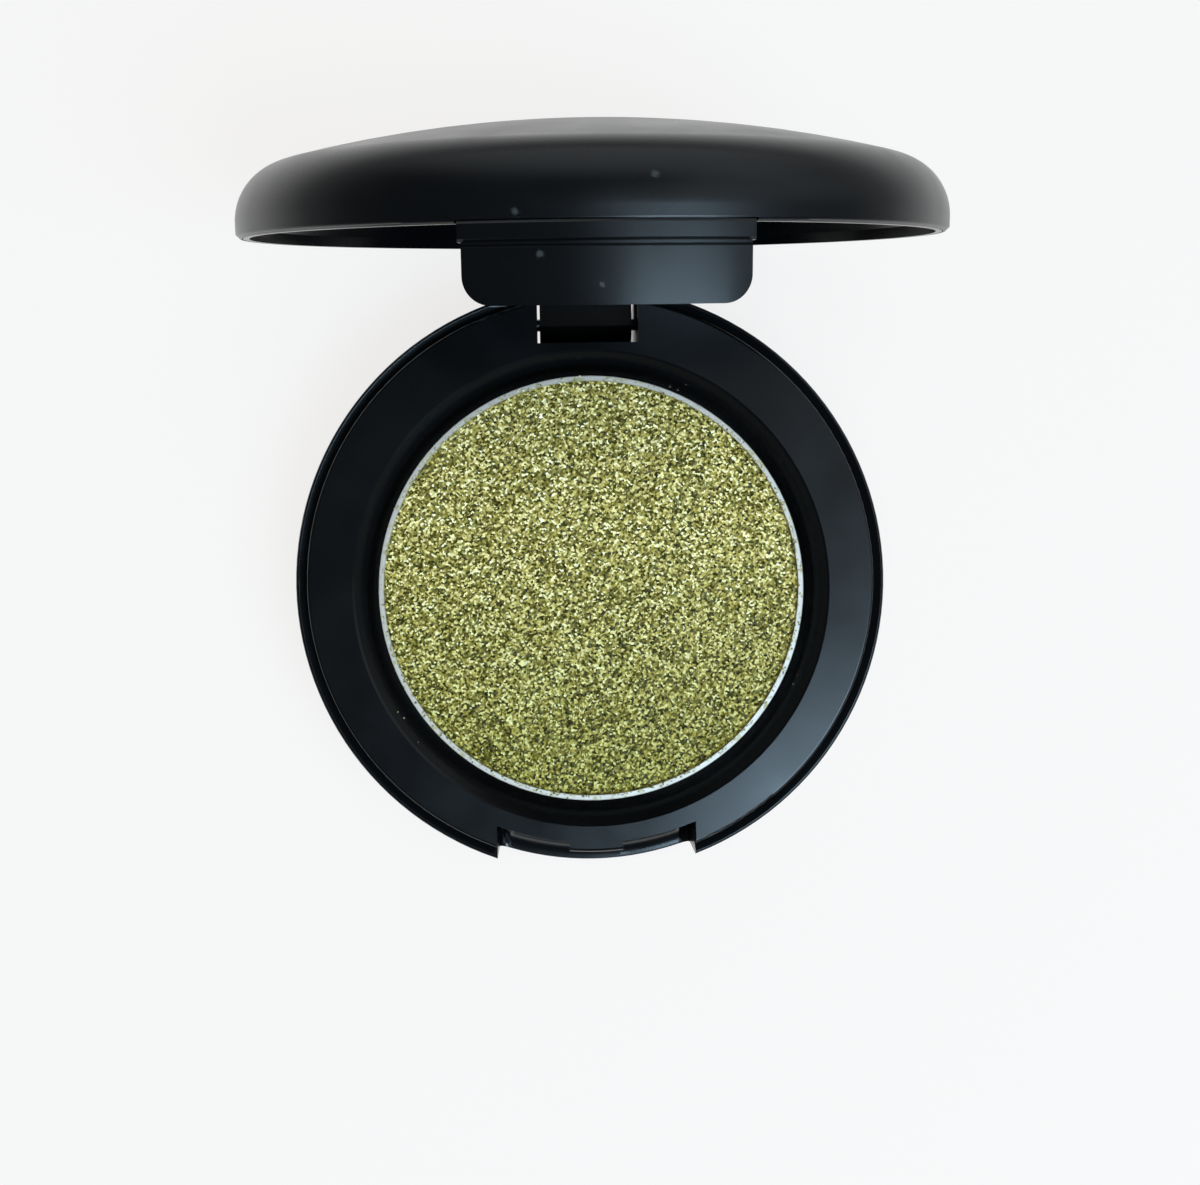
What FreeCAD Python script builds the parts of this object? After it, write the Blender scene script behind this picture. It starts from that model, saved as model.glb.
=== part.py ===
import FreeCAD, Part
import math
import os
import re
import Sketcher

# Round single-shade eyeshadow compact, millimetres, +Z up, front at -Y.
# The base's flat bottom is centred on the origin. The lid stands open at the back.

# Driving sizes: name, value, meaning
SIZES = (
    ("parting_height", 8.0, "height of the ledge that the lid closes on"),
    ("bottom_round", 3.4, "rounding of the base's lower edge"),
    ("ledge_round", 0.55, "rounding of the ledge's outer edge"),
    ("rim_width", 0.65, "width of the ledge"),
    ("shell_wall", 1.3, "wall and floor of the base shell"),
    ("snap_depth", 0.2, "snap groove in the shell wall"),
    ("snap_height", 0.5, "height of the snap groove"),
    ("snap_drop", 0.8, "snap groove below the shell's shoulder"),
    ("ring_face", 2.88, "width of the tray ring's face"),
    ("ring_height", 0.5, "tray ring above the ledge"),
    ("ring_round", 0.2, "rounding of the ring's outer edge"),
    ("plate_thickness", 1.0, "thickness of the tray's plate"),
    ("plate_gap", 0.12, "seam between the tray's plate and the shell"),
    ("hem_wall", 0.7, "wall of the tray's snap hems"),
    ("hem_depth", 1.6, "depth of the tray's snap hems"),
    ("hem_gap", 0.1, "clearance of the snap hems in the shell"),
    ("hem_span", 80.0, "angle covered by each snap hem"),
    ("well_shift", 0.46, "well set forward of the base's centre"),
    ("well_gap", 0.8, "open gap between the pan and the well"),
    ("well_flare", 0.75, "widening of the well at its sloped mouth"),
    ("well_slope", 0.8, "depth of the well's sloped mouth"),
    ("well_edge", 0.1, "soft edge between the ring's face and the well"),
    ("tub_wall", 0.55, "wall of the tray's tub"),
    ("tub_floor", 1.0, "floor of the tray's tub"),
    ("pan_radius", 13.4, "outer radius of the metal pan"),
    ("pan_depth", 3.8, "outer depth of the metal pan"),
    ("pan_wall", 0.3, "metal thickness of the pan"),
    ("pan_round", 0.6, "rounding of the pan's lower edge"),
    ("pan_sink", 0.45, "pan's rim below the ring's face"),
    ("cake_sink", 0.25, "powder below the pan's rim"),
    ("cake_edge", 0.12, "soft edge of the pressed powder"),
    ("glue_radius", 11.0, "radius of the adhesive disc"),
    ("glue_thickness", 0.2, "thickness of the adhesive disc"),
    ("hinge_inset", 1.7, "hinge axis inside the base's back"),
    ("hinge_drop", 4.9, "hinge axis below the ledge"),
    ("pin_radius", 0.4, "radius of the hinge pin"),
    ("pin_length", 13.0, "length of the hinge pin"),
    ("pin_bevel", 0.12, "bevel on the pin's ends"),
    ("pin_seat", 0.01, "clearance of the pin in the base"),
    ("pin_play", 0.05, "clearance of the pin in the knuckle"),
    ("barrel_radius", 1.25, "radius of the knuckle's barrel"),
    ("knuckle_half", 3.0, "half width of the knuckle"),
    ("knuckle_gap", 0.17, "side clearance of the knuckle in its slot"),
    ("stop_overlap", 0.05, "stop heel's reach beyond the slot's front wall"),
    ("heel_angle", 67.0, "stop heel's slope below level, closed, degrees"),
    ("arm_inset", 0.02, "back of the knuckle's arm inside the base's back"),
    ("arm_step", 0.3, "slope of the knuckle's arm under the cover's rim"),
    ("block_half", 7.0, "half width of the hinge block"),
    ("block_gap", 0.16, "gap between the tub and the hinge block"),
    ("block_wall", 0.5, "wall in front of the hinge slot"),
    ("block_bite", 0.4, "hinge block's depth into the shell wall"),
    ("swing_gap", 0.1, "clearance of the swinging rim over the base"),
    ("notch_half", 6.3, "half width of the finger notch"),
    ("notch_floor", 3.5, "height of the finger notch's lower edge"),
    ("notch_corner", 0.6, "corner rounding of the finger notch"),
    ("scoop_depth", 2.1, "depth of the finger notch at the ring's face"),
    ("scoop_root", 1.5, "notch wall's root in the plate"),
    ("scoop_span", 52.0, "angle of the sloped notch wall before its ends are cut"),
    ("scoop_lean", 0.21, "slope of the notch wall, outward for each unit down"),
    ("scoop_bend", 1.2, "height of the bend at the notch wall's foot"),
    ("scoop_edge", 0.25, "height of the foot's outer edge"),
    ("scoop_inset", 0.2, "notch wall's foot inside the base radius"),
    ("scoop_wall", 0.7, "thickness of the sloped notch wall"),
    ("scoop_gap", 0.4, "side clearance of the sloped notch wall"),
    ("scoop_facet", 0.35, "bevel at each end of the sloped notch wall"),
    ("scoop_lift", 0.2, "clearance under the sloped notch wall"),
    ("catch_drop", 1.4, "catch bead below the ring's face"),
    ("catch_height", 0.6, "height of the catch bead"),
    ("catch_bulge", 0.25, "rounded front of the catch bead"),
    ("catch_gap", 0.25, "clearance between the catch bead and the tab"),
    ("catch_play", 0.08, "clearance between the catch bead and the latch rib under it"),
    ("catch_span", 11.4, "angle covered by the catch bead"),
    ("tab_gap", 0.22, "side clearance of the tab in the notch"),
    ("tab_length", 3.35, "tab below the lid's rim"),
    ("tab_thickness", 0.85, "tab thickness inside the lid's radius"),
    ("rib_depth", 0.15, "latch rib across the tab's back"),
    ("rib_height", 0.4, "height of the latch rib's face"),
    ("tab_corner", 1.2, "corner rounding of the tab"),
    ("tab_proud", 0.1, "tab's face beyond the lid's radius"),
    ("tab_line", 0.12, "depth of the line between tab and thumb pad"),
    ("pad_step", 0.15, "thumb pad wider than the tab, each side"),
    ("pad_rise", 0.1, "thumb pad above the lid's rim"),
    ("pad_drop", 0.76, "thumb pad below the lid's rim"),
    ("rim_gap", 0.05, "gap between the closed lid and the ledge"),
    ("rim_round", 0.2, "rounding of the rim's outer edge"),
    ("skirt_gap", 0.1, "clearance between the lid's skirt and the ring"),
    ("lid_clear", 1.2, "inner plate above the ring's face, lid closed"),
    ("liner_thickness", 0.6, "thickness of the lid's inner plate"),
    ("seam_gap", 0.03, "gap between the cover's rim and the knuckle's arm"),
    ("lip_wall", 0.3, "wall of the cover's lower lip"),
    ("lip_height", 0.7, "straight part of the cover's lip"),
    ("lip_draft", 0.75, "how far lip and frame draw in towards the crown"),
    ("lip_gap", 0.05, "clearance of the cover's lip round the frame"),
    ("side_band", 0.68, "straight side of the cover above the rim"),
    ("shoulder_round", 3.09, "rounding of the lid's shoulder"),
    ("crown_rise", 2.0, "rise of the lid's crown above its shoulder"),
    ("lid_wall", 1.0, "wall of the lid's cover"),
    ("open_angle", 79.7, "lid opening in the modelled pose, degrees"),
    ("cut_over", 1.0, "how far a cut runs past the solid"),
)

# Lengths built up from the driving sizes
WELL_RADIUS = "(pan_radius + well_gap)"
WELL_MOUTH = f"({WELL_RADIUS} + well_flare)"
BASE_RADIUS = f"({WELL_MOUTH} + ring_face + plate_gap + rim_width)"
BORE = f"({BASE_RADIUS} - shell_wall)"
RING_TOP = "(parting_height + ring_height)"
SHOULDER = "(parting_height + ring_height - plate_thickness)"
PLATE_RADIUS = f"({WELL_MOUTH} + ring_face)"
SNAP_TOP = f"({SHOULDER} - snap_drop)"
PAN_BASE = f"({RING_TOP} - pan_sink - pan_depth)"
TUB_BASE = f"({PAN_BASE} - glue_thickness - tub_floor)"
SLOT_HALF = "(knuckle_half + knuckle_gap)"
BLOCK_FRONT = f"({WELL_RADIUS} + tub_wall - well_shift + block_gap)"
SLOT_FRONT = f"({BLOCK_FRONT} + block_wall)"
HINGE_REACH = f"({BASE_RADIUS} - hinge_inset)"
SLOT_SPACE = f"({HINGE_REACH} - {SLOT_FRONT})"
HINGE_HEIGHT = "(parting_height - hinge_drop)"
SWING = "(hinge_drop - swing_gap)"
SCOOP_TOP = f"({BASE_RADIUS} - scoop_depth)"
SCOOP_FOOT = f"({BASE_RADIUS} - scoop_inset)"
SCOOP_BACK = f"({SCOOP_TOP} - scoop_root - scoop_wall)"
SCOOP_BASE = "(notch_floor + scoop_lift)"
SCOOP_HALF = "(notch_half - scoop_gap)"
BEND_HEIGHT = f"({SCOOP_BASE} + scoop_bend)"
BEND_RADIUS = f"({SCOOP_TOP} + ({RING_TOP} - {BEND_HEIGHT}) * scoop_lean)"
SCOOP_NECK = f"({SCOOP_TOP} + plate_thickness * scoop_lean)"
TAB_HALF = "(notch_half - tab_gap)"
TAB_FACE = f"({BASE_RADIUS} + tab_proud)"
TAB_BACK = f"({BASE_RADIUS} - tab_thickness)"
CATCH_FACE = f"({TAB_BACK} - rib_depth - catch_gap)"
CATCH_LOW = f"({RING_TOP} - catch_drop - catch_height / 2)"
RIB_TOP = f"({CATCH_LOW} - parting_height - rim_gap - catch_play - rib_depth)"
RIB_LOW = f"({RIB_TOP} - rib_height)"
PAD_HALF = f"({TAB_HALF} + pad_step)"
HINGE_DOWN = "(hinge_drop + rim_gap)"
SKIRT_RADIUS = f"({PLATE_RADIUS} + skirt_gap)"
SKIRT_FOOT = "(ring_height + skirt_gap)"
CEILING = "(ring_height + lid_clear)"
LINER_TOP = f"({CEILING} + liner_thickness)"
LIP_RADIUS = f"({BASE_RADIUS} - lip_wall)"
LINER_RADIUS = f"({LIP_RADIUS} - lip_gap)"
PAST_TOP = "(parting_height + cut_over)"
PAST_SIDE = f"({BASE_RADIUS} + cut_over)"
FULL_TURN = "360"

# Distance within which two points count as touching
TOUCH = 0.001

doc = FreeCAD.newDocument("compact")
sheet = doc.addObject("Spreadsheet::Sheet", "Sizes")


def fill_sheet():
    """Write the driving sizes into the sheet, one named cell each."""
    for row, (alias, value, meaning) in enumerate(SIZES, start=1):
        sheet.set(f"A{row}", meaning)
        sheet.set(f"B{row}", str(value))
        sheet.setAlias(f"B{row}", alias)
    doc.recompute()


NAMES = {alias for alias, value, meaning in SIZES}


def bound(text):
    """Turn size names in a formula into sheet references."""
    return re.sub(r"[a-z_]+", lambda word: f"Sizes.{word[0]}" if word[0] in NAMES else word[0], text)


def value_of(text):
    """Work out a formula's present value."""
    return float(sheet.evalExpression(bound(text)))


def origin_part(body, role):
    """Find one of the body's own origin planes or axes."""
    return [item for item in body.Origin.OriginFeatures if item.Role == role][0]


def new_body(label):
    """Start a sub-part."""
    body = doc.addObject("PartDesign::Body", label)
    body.Label = label
    return body


def new_sketch(body, name, plane, **shift):
    """Attach a sketch to an origin plane, shifted along its own x, y or z."""
    sketch = body.newObject("Sketcher::SketchObject", name)
    sketch.AttachmentSupport = (origin_part(body, plane), [""])
    sketch.MapMode = "FlatFace"
    for axis, text in shift.items():
        sketch.setExpression(f"AttachmentOffset.Base.{axis}", bound(text))
    doc.recompute()
    return sketch


def fix_point(sketch, geometry, vertex, x_text, y_text):
    """Tie a sketch point to its formulas."""
    for kind, text, axis in (("DistanceX", x_text, -2), ("DistanceY", y_text, -1)):
        if text == "0":
            sketch.addConstraint(Sketcher.Constraint("PointOnObject", geometry, vertex, axis))
            continue
        rule = Sketcher.Constraint(kind, -1, 1, geometry, vertex, value_of(text))
        index = sketch.addConstraint(rule)
        sketch.setExpression(f"Constraints[{index}]", bound(text))


def arc_between(start, end, radius, turn):
    """Arc from start to end. turn +1 runs anticlockwise, -1 clockwise."""
    chord = end - start
    middle = (start + end) * 0.5
    rise = math.sqrt(max(radius ** 2 - (chord.Length / 2) ** 2, 0.0))
    side = FreeCAD.Vector(-chord.y, chord.x, 0).normalize()
    centre = middle + side * (rise * turn)
    first, last = (start, end) if turn > 0 else (end, start)
    begin = math.atan2(first.y - centre.y, first.x - centre.x)
    finish = math.atan2(last.y - centre.y, last.x - centre.x)
    circle = Part.Circle(centre, FreeCAD.Vector(0, 0, 1), radius)
    return Part.ArcOfCircle(circle, begin, finish)


def draw_loop(sketch, corners):
    """Draw a closed outline. A corner is (x, y) or (x, y, radius, turn) for an arc to the next."""
    points = [FreeCAD.Vector(value_of(c[0]), value_of(c[1]), 0) for c in corners]
    ends = []
    for index, corner in enumerate(corners):
        start = points[index]
        end = points[(index + 1) % len(points)]
        if len(corner) == 2:
            geometry = sketch.addGeometry(Part.LineSegment(start, end))
            ends.append((geometry, 1, 2))
            continue
        radius, turn = corner[2], corner[3]
        geometry = sketch.addGeometry(arc_between(start, end, value_of(radius), turn))
        ends.append((geometry, 1, 2) if turn > 0 else (geometry, 2, 1))
    for index, (geometry, begin, finish) in enumerate(ends):
        following = ends[(index + 1) % len(ends)]
        sketch.addConstraint(Sketcher.Constraint("Coincident", geometry, finish, following[0], following[1]))
    for (geometry, begin, finish), corner in zip(ends, corners):
        fix_point(sketch, geometry, begin, corner[0], corner[1])
        if len(corner) == 4:
            rule = Sketcher.Constraint("Radius", geometry, value_of(corner[2]))
            index = sketch.addConstraint(rule)
            sketch.setExpression(f"Constraints[{index}]", bound(corner[2]))
    return sketch


def draw_circle(sketch, x_text, y_text, radius):
    """Draw a full circle."""
    centre = FreeCAD.Vector(value_of(x_text), value_of(y_text), 0)
    geometry = sketch.addGeometry(Part.Circle(centre, FreeCAD.Vector(0, 0, 1), value_of(radius)))
    fix_point(sketch, geometry, 3, x_text, y_text)
    index = sketch.addConstraint(Sketcher.Constraint("Radius", geometry, value_of(radius)))
    sketch.setExpression(f"Constraints[{index}]", bound(radius))
    return sketch


def feature(body, kind, name, sketch, **formulas):
    """Add a sketch-based feature and tie its sizes to formulas."""
    item = body.newObject(f"PartDesign::{kind}", name)
    item.Profile = sketch
    sketch.Visibility = False
    for key, text in formulas.items():
        item.setExpression(key, bound(text))
    return item


def extrude(body, kind, name, sketch, length, both=False):
    """Pad or pocket. both spreads the length to the two sides of the sketch."""
    item = feature(body, kind, name, sketch, Length=length)
    if both:
        item.SideType = "Symmetric"
    doc.recompute()
    return item


def turn(body, kind, name, sketch, span=FULL_TURN):
    """Revolve or groove about the sketch's upright axis, centred on the sketch's plane."""
    item = feature(body, kind, name, sketch, Angle=span)
    item.ReferenceAxis = (sketch, ["V_Axis"])
    item.Midplane = True
    doc.recompute()
    return item


def rectangle(left, right, low, high):
    """Corners of an upright rectangle."""
    return [(left, low), (right, low), (right, high), (left, high)]


def build_base_shell():
    """Cup with a ledge, a finger notch, and a slotted hinge block at the back."""
    body = new_body("base_shell")
    wall = new_sketch(body, "shell_section", "XZ_Plane")
    inner_round = "(bottom_round - shell_wall)"
    flat = f"({BASE_RADIUS} - bottom_round)"
    draw_loop(wall, [
        ("0", "0"),
        (flat, "0", "bottom_round", 1),
        (BASE_RADIUS, "bottom_round"),
        (BASE_RADIUS, "parting_height - ledge_round", "ledge_round", 1),
        (f"{BASE_RADIUS} - ledge_round", "parting_height"),
        (f"{BASE_RADIUS} - rim_width", "parting_height"),
        (f"{BASE_RADIUS} - rim_width", SHOULDER),
        (BORE, SHOULDER),
        (BORE, SNAP_TOP),
        (f"{BORE} + snap_depth", SNAP_TOP),
        (f"{BORE} + snap_depth", f"{SNAP_TOP} - snap_height"),
        (BORE, f"{SNAP_TOP} - snap_height"),
        (BORE, "bottom_round", inner_round, -1),
        (flat, "shell_wall"),
        ("0", "shell_wall"),
    ])
    turn(body, "Revolution", "shell_turn", wall)

    outer = f"({BORE} + block_bite)"
    back = f"sqrt({outer} * {outer} - block_half * block_half)"
    block = new_sketch(body, "block_plan", "XY_Plane", z="shell_wall")
    draw_loop(block, [
        ("-block_half", BLOCK_FRONT),
        ("block_half", BLOCK_FRONT),
        ("block_half", back, outer, 1),
        ("-block_half", back),
    ])
    extrude(body, "Pad", "hinge_block", block, f"{SHOULDER} - shell_wall")

    slot = new_sketch(body, "slot_plan", "XY_Plane", z=PAST_TOP)
    draw_loop(slot, rectangle(f"-{SLOT_HALF}", SLOT_HALF, SLOT_FRONT, PAST_SIDE))
    extrude(body, "Pocket", "hinge_slot", slot, f"{PAST_TOP} + cut_over")

    bore = new_sketch(body, "pin_bore_section", "YZ_Plane")
    draw_circle(bore, HINGE_REACH, HINGE_HEIGHT, "pin_radius + pin_seat")
    extrude(body, "Pocket", "pin_bore", bore, f"2 * {BASE_RADIUS}", both=True)

    reach = f"({PAST_SIDE} - {HINGE_REACH})"
    relief = new_sketch(body, "relief_section", "YZ_Plane")
    draw_loop(relief, [
        (HINGE_REACH, f"{HINGE_HEIGHT} + {SWING}", SWING, -1),
        (PAST_SIDE, f"{HINGE_HEIGHT} + sqrt({SWING} * {SWING} - {reach} * {reach})"),
        (PAST_SIDE, PAST_TOP),
        (HINGE_REACH, PAST_TOP),
    ])
    extrude(body, "Pocket", "swing_relief", relief, f"2 * {BASE_RADIUS}", both=True)

    notch = new_sketch(body, "notch_front", "XZ_Plane", z=PAST_SIDE)
    draw_loop(notch, [
        ("-notch_half", "notch_floor + notch_corner", "notch_corner", 1),
        ("-notch_half + notch_corner", "notch_floor"),
        ("notch_half - notch_corner", "notch_floor", "notch_corner", 1),
        ("notch_half", "notch_floor + notch_corner"),
        ("notch_half", PAST_TOP),
        ("-notch_half", PAST_TOP),
    ])
    extrude(body, "Pocket", "finger_notch", notch, PAST_SIDE)
    return body


def build_pan_tray():
    """Plate with a tub for the pan, a sloped notch wall with a catch bead, and snap hems."""
    body = new_body("pan_tray")
    plate = new_sketch(body, "plate_section", "XZ_Plane")
    draw_loop(plate, [
        ("0", SHOULDER),
        (PLATE_RADIUS, SHOULDER),
        (PLATE_RADIUS, f"{RING_TOP} - ring_round", "ring_round", 1),
        (f"{PLATE_RADIUS} - ring_round", RING_TOP),
        ("0", RING_TOP),
    ])
    turn(body, "Revolution", "plate", plate)

    tub = new_sketch(body, "tub_plan", "XY_Plane", z=TUB_BASE)
    draw_circle(tub, "0", "-well_shift", f"{WELL_RADIUS} + tub_wall")
    extrude(body, "Pad", "tub", tub, f"{SHOULDER} - {TUB_BASE}")

    gate = new_sketch(body, "gate_plan", "XY_Plane", z=RING_TOP)
    draw_loop(gate, rectangle("-notch_half", "notch_half", f"-{PAST_SIDE}", f"scoop_root - {SCOOP_TOP}"))
    extrude(body, "Pocket", "notch_gate", gate, "plate_thickness")

    out = f"({SCOOP_FOOT} - {BEND_RADIUS})"
    down = "(scoop_bend - scoop_edge)"
    tilt = "sqrt(1 + scoop_lean * scoop_lean)"
    sweep = f"(({out} * {out} + {down} * {down}) * {tilt} / (2 * ({out} - {down} * scoop_lean)))"
    scoop = new_sketch(body, "scoop_section", "YZ_Plane")
    draw_loop(scoop, [
        (f"-{SCOOP_BACK}", SHOULDER),
        (f"-{SCOOP_BACK}", RING_TOP),
        (f"-{SCOOP_TOP}", RING_TOP),
        (f"-{BEND_RADIUS}", BEND_HEIGHT, sweep, -1),
        (f"-{SCOOP_FOOT}", f"{SCOOP_BASE} + scoop_edge"),
        (f"-{SCOOP_FOOT}", SCOOP_BASE),
        (f"-({BEND_RADIUS} - scoop_wall)", SCOOP_BASE),
        (f"-({BEND_RADIUS} - scoop_wall)", BEND_HEIGHT),
        (f"-({SCOOP_NECK} - scoop_wall)", SHOULDER),
    ])
    turn(body, "Revolution", "scoop", scoop, "scoop_span")

    ends = (("left", f"-{PAST_SIDE}", f"-{SCOOP_HALF}"), ("right", SCOOP_HALF, PAST_SIDE))
    for name, low_x, high_x in ends:
        trim = new_sketch(body, f"scoop_trim_{name}_plan", "XY_Plane", z=SHOULDER)
        draw_loop(trim, rectangle(low_x, high_x, f"-{PAST_SIDE}", f"-{SCOOP_BACK}"))
        extrude(body, "Pocket", f"scoop_trim_{name}", trim, f"{SHOULDER} - {SCOOP_BASE} + cut_over")
    bevel_ends(body)

    bead = new_sketch(body, "catch_section", "YZ_Plane")
    root = f"-({CATCH_FACE} - scoop_wall)"
    brow = f"-({CATCH_FACE} - catch_bulge)"
    crest = f"({CATCH_LOW} + catch_height)"
    draw_loop(bead, [
        (root, CATCH_LOW),
        (root, crest),
        (brow, crest, "(catch_height * catch_height / 4 + catch_bulge * catch_bulge) / (2 * catch_bulge)", 1),
        (brow, CATCH_LOW),
    ])
    turn(body, "Revolution", "catch_bead", bead, "catch_span")

    slot = new_sketch(body, "tray_slot_plan", "XY_Plane", z=RING_TOP)
    draw_loop(slot, rectangle(f"-{SLOT_HALF}", SLOT_HALF, SLOT_FRONT, PAST_SIDE))
    extrude(body, "Pocket", "tray_slot", slot, "plate_thickness")

    hem = f"({BORE} - hem_gap)"
    snap = f"({hem} + snap_depth)"
    low = f"({SHOULDER} - hem_depth)"
    snap_low = f"({SNAP_TOP} - snap_height + hem_gap)"
    snap_high = f"({SNAP_TOP} - hem_gap)"
    for name, sign in (("left", "-"), ("right", "")):
        section = new_sketch(body, f"hem_{name}_section", "XZ_Plane")
        draw_loop(section, [
            (f"{sign}({hem} - hem_wall)", low),
            (f"{sign}{hem}", low),
            (f"{sign}{hem}", snap_low),
            (f"{sign}{snap}", snap_low),
            (f"{sign}{snap}", snap_high),
            (f"{sign}{hem}", snap_high),
            (f"{sign}{hem}", SHOULDER),
            (f"{sign}({hem} - hem_wall)", SHOULDER),
        ])
        turn(body, "Revolution", f"hem_{name}", section, "hem_span")

    well = new_sketch(body, "well_section", "YZ_Plane", x="-well_shift")
    draw_loop(well, [
        ("0", f"{TUB_BASE} + tub_floor"),
        (WELL_RADIUS, f"{TUB_BASE} + tub_floor"),
        (WELL_RADIUS, f"{RING_TOP} - well_slope"),
        (f"{WELL_MOUTH} - well_edge", f"{RING_TOP} - well_edge"),
        (f"{WELL_MOUTH} + well_edge / 2", RING_TOP),
        (f"{WELL_MOUTH} + well_edge / 2", f"{RING_TOP} + cut_over"),
        ("0", f"{RING_TOP} + cut_over"),
    ])
    turn(body, "Groove", "well", well)
    return body


def bevel_ends(body):
    """Bevel the upright outer edge at each end of the sloped notch wall."""
    wall = body.Tip
    half = value_of(SCOOP_HALF)
    neck = value_of(SCOOP_NECK)
    names = []
    for number, edge in enumerate(wall.Shape.Edges, start=1):
        tips = [vertex.Point for vertex in edge.Vertexes]
        at_end = all(abs(abs(tip.x) - half) < TOUCH for tip in tips)
        from_neck = any(abs(math.hypot(tip.x, tip.y) - neck) < TOUCH for tip in tips)
        slanted = len(tips) == 2 and abs(tips[0].z - tips[1].z) > value_of("scoop_wall")
        if at_end and from_neck and slanted:
            names.append(f"Edge{number}")
    bevel = body.newObject("PartDesign::Chamfer", "scoop_bevel")
    bevel.Base = (wall, names)
    bevel.setExpression("Size", bound("scoop_facet"))
    doc.recompute()


def build_powder_pan():
    """Thin round metal cup."""
    body = new_body("powder_pan")
    section = new_sketch(body, "pan_section", "XZ_Plane")
    draw_loop(section, [
        ("0", "0"),
        ("pan_radius - pan_round", "0", "pan_round", 1),
        ("pan_radius", "pan_round"),
        ("pan_radius", "pan_depth"),
        ("pan_radius - pan_wall", "pan_depth"),
        ("pan_radius - pan_wall", "pan_round", "pan_round - pan_wall", -1),
        ("pan_radius - pan_round", "pan_wall"),
        ("0", "pan_wall"),
    ])
    turn(body, "Revolution", "cup", section)
    place(body, "0", "-well_shift", PAN_BASE)
    return body


def build_powder_cake():
    """Pressed powder that fills the pan to just below its rim."""
    body = new_body("powder_cake")
    section = new_sketch(body, "cake_section", "XZ_Plane")
    inside = "(pan_radius - pan_wall)"
    top = "(pan_depth - cake_sink)"
    draw_loop(section, [
        ("0", "pan_wall"),
        ("pan_radius - pan_round", "pan_wall", "pan_round - pan_wall", 1),
        (inside, "pan_round"),
        (inside, f"{top} - cake_edge"),
        (f"{inside} - cake_edge", top),
        ("0", top),
    ])
    turn(body, "Revolution", "cake", section)
    place(body, "0", "-well_shift", PAN_BASE)
    return body


def build_adhesive_disc():
    """Adhesive between the pan and the tub's floor."""
    body = new_body("pan_adhesive_disc")
    plan = new_sketch(body, "disc_plan", "XY_Plane")
    draw_circle(plan, "0", "0", "glue_radius")
    extrude(body, "Pad", "disc", plan, "glue_thickness")
    place(body, "0", "-well_shift", f"{PAN_BASE} - glue_thickness")
    return body


def build_hinge_pin():
    """Straight pin along X with bevelled ends."""
    body = new_body("hinge_pin")
    section = new_sketch(body, "pin_section", "XZ_Plane")
    draw_loop(section, [
        ("0", "-pin_length / 2"),
        ("pin_radius - pin_bevel", "-pin_length / 2"),
        ("pin_radius", "-pin_length / 2 + pin_bevel"),
        ("pin_radius", "pin_length / 2 - pin_bevel"),
        ("pin_radius - pin_bevel", "pin_length / 2"),
        ("0", "pin_length / 2"),
    ])
    turn(body, "Revolution", "pin", section)
    body.Placement.Rotation = FreeCAD.Rotation(FreeCAD.Vector(0, 0, 1), FreeCAD.Vector(1, 0, 0))
    place(body, "0", HINGE_REACH, HINGE_HEIGHT)
    return body


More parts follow.
